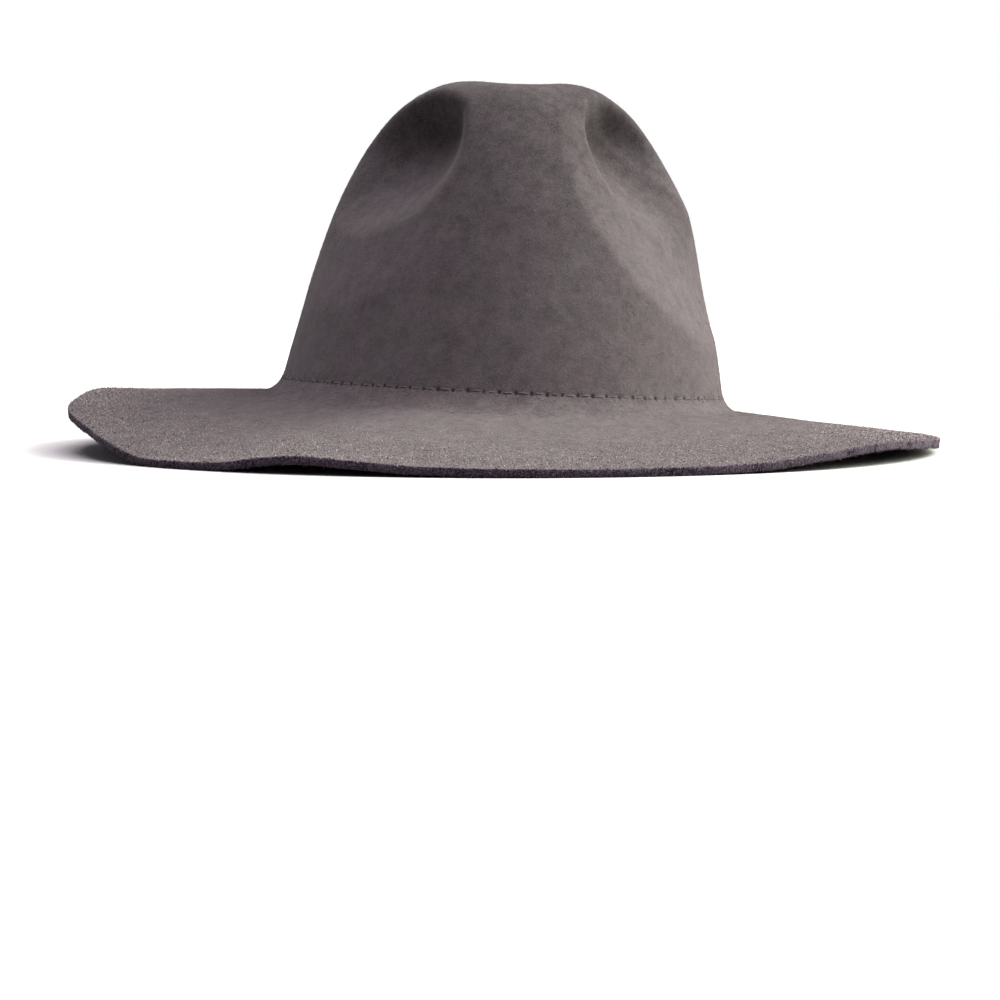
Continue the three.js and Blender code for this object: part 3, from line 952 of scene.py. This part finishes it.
class HAT_OT_nap(bpy.types.Operator):
    """Make the loose fibres and the tufts on the crown, on the brim and along the cut edge"""

    bl_idname = "hat.nap"
    bl_label = "Fibres and tufts"

    def execute(self, context):
        scene = context.scene
        hat, colours = scene.hat_shape, scene.hat_colours
        standing = StandingHat(scene)
        loose = wool_material("loose_fibres", colours.loose, scaled(colours.loose, 1.9))
        nap = wool_material("raised_nap", colours.fibre_dark, scaled(colours.fibre_light, 1.9))
        raw = wool_material("raw_wool", *(scaled(colours.cut_edge, share) for share in TUFT_WOOL))
        for piece, material in (
            (make_fibres(standing, "crown_fibres", (0.05, 1.6), hat.crown_fibres, 31), loose),
            (make_fibres(standing, "brim_fibres", (1.6, 2.93), hat.brim_fibres, 32), loose),
            (make_tufts(standing, "brim_tufts", (2.1, 2.995), hat.brim_tufts, 33), nap),
            (make_tufts(standing, "edge_tufts", (2.994, 2.994), hat.edge_tufts, 34, edge=True), raw),
        ):
            piece.data.materials.append(material)
            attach(piece, "root")
        return {"FINISHED"}


class HAT_OT_stage(bpy.types.Operator):
    """Make the floor, the lights and the camera"""

    bl_idname = "hat.stage"
    bl_label = "Stage"

    def execute(self, context):
        scene = context.scene
        stage = scene.hat_stage
        foot = StandingHat(scene).shift
        make_floor(stage)
        make_lights(stage)
        make_camera(scene, stage, Vector(foot))
        return {"FINISHED"}


def make_floor(stage):
    """A wide pale floor at the height that the hat rests on, which throws little light back at it."""
    reach = 12.0
    corners = np.array([(-reach, -reach, 0), (reach, -reach, 0), (reach, reach, 0), (-reach, reach, 0)])
    floor = new_piece("floor", corners, [(0, 1, 2, 3)])
    material, tree, shader = new_material("studio_floor")
    set_inputs(shader, Roughness=0.9)
    path = node(tree, "ShaderNodeLightPath")
    base = blend_colours(tree, path.outputs["Is Camera Ray"], stage.bounce, stage.floor)
    feed(tree, base, shader.inputs["Base Color"])
    floor.data.materials.append(material)


def make_lights(stage):
    """Three broad suns, two from the right and one from above, and an even sky."""
    for name, strength, toward, tint in (
        ("key_light", stage.key, (0.85, 0.05, 0.53), stage.key_colour),
        ("high_light", stage.high, (0.6, 0.0, 0.8), stage.key_colour),
        ("overhead_light", stage.over, (0.0, -0.15, 1.0), stage.shade_colour),
    ):
        sun = bpy.data.lights.new(name, "SUN")
        sun.energy = strength
        sun.angle = math.radians(45)
        sun.color = tint
        new_object(name, sun).rotation_euler = Vector(toward).to_track_quat("Z", "Y").to_euler()
    world = bpy.data.worlds.new("studio")
    bpy.context.scene.world = world
    world.use_nodes = True
    tree = world.node_tree
    backdrop = tree.nodes["Background"]
    set_inputs(backdrop, Color=(1, 1, 1, 1), Strength=1.0)
    light = node(tree, "ShaderNodeBackground")
    set_inputs(light, Color=(*stage.shade_colour, 1), Strength=stage.sky)
    path = node(tree, "ShaderNodeLightPath")
    mix = node(tree, "ShaderNodeMixShader")
    sources = (path.outputs["Is Camera Ray"], light.outputs[0], backdrop.outputs[0])
    for source, target in zip(sources, mix.inputs):
        feed(tree, source, target)
    feed(tree, mix.outputs[0], tree.nodes["World Output"].inputs[0])


def make_camera(scene, stage, foot):
    """Camera on a sphere round the crown's foot, aimed below it so that the foot shows at its pixel row."""
    azimuth, elevation = stage.azimuth, stage.elevation
    back = Vector((math.sin(azimuth) * math.cos(elevation), -math.cos(azimuth) * math.cos(elevation),
                   math.sin(elevation)))
    right = Vector((math.cos(azimuth), math.sin(azimuth), 0))
    up = back.cross(right)
    focal = stage.scale * stage.distance / MM
    below = (stage.image / 2 - stage.foot_row) / focal * stage.distance
    place = foot + back * stage.distance
    aim = foot - up * below
    data = bpy.data.cameras.new("camera")
    data.sensor_width = 36
    data.lens = focal / stage.image * data.sensor_width
    data.clip_end = 50
    camera = new_object("camera", data)
    camera.location = place
    camera.rotation_euler = (place - aim).to_track_quat("Z", "Y").to_euler()
    scene.camera = camera
    scene.view_settings.view_transform = "Standard"


class HAT_PT_pieces(bpy.types.Panel):
    """The hat's pieces and its stage"""

    bl_label = "Felt hat"
    bl_idname = "HAT_PT_pieces"
    bl_space_type = "VIEW_3D"
    bl_region_type = "UI"
    bl_category = "Felt hat"

    def draw(self, context):
        for operator in OPERATORS:
            self.layout.operator(operator.bl_idname)
        for group in GROUPS:
            box = self.layout.box()
            settings = getattr(context.scene, group)
            for name in settings.__annotations__:
                box.prop(settings, name)


OPERATORS = (HAT_OT_felt, HAT_OT_sweatband, HAT_OT_stitches, HAT_OT_nap, HAT_OT_stage)
GROUPS = {"hat_shape": HatShape, "hat_sewing": HatSewing, "hat_colours": HatColours, "hat_stage": HatStage}
CLASSES = (*GROUPS.values(), *OPERATORS, HAT_PT_pieces)


def register():
    """Registers the classes and hangs the property groups on the scene."""
    for cls in CLASSES:
        bpy.utils.register_class(cls)
    for name, group in GROUPS.items():
        setattr(bpy.types.Scene, name, PointerProperty(type=group))


def unregister():
    """Takes the property groups and the classes away again."""
    for name in GROUPS:
        delattr(bpy.types.Scene, name)
    for cls in reversed(CLASSES):
        bpy.utils.unregister_class(cls)


def main():
    """Builds every piece and the stage."""
    register()
    bpy.ops.hat.felt()
    bpy.ops.hat.sweatband()
    bpy.ops.hat.stitches()
    bpy.ops.hat.nap()
    bpy.ops.hat.stage()


if __name__ == "__main__":
    main()
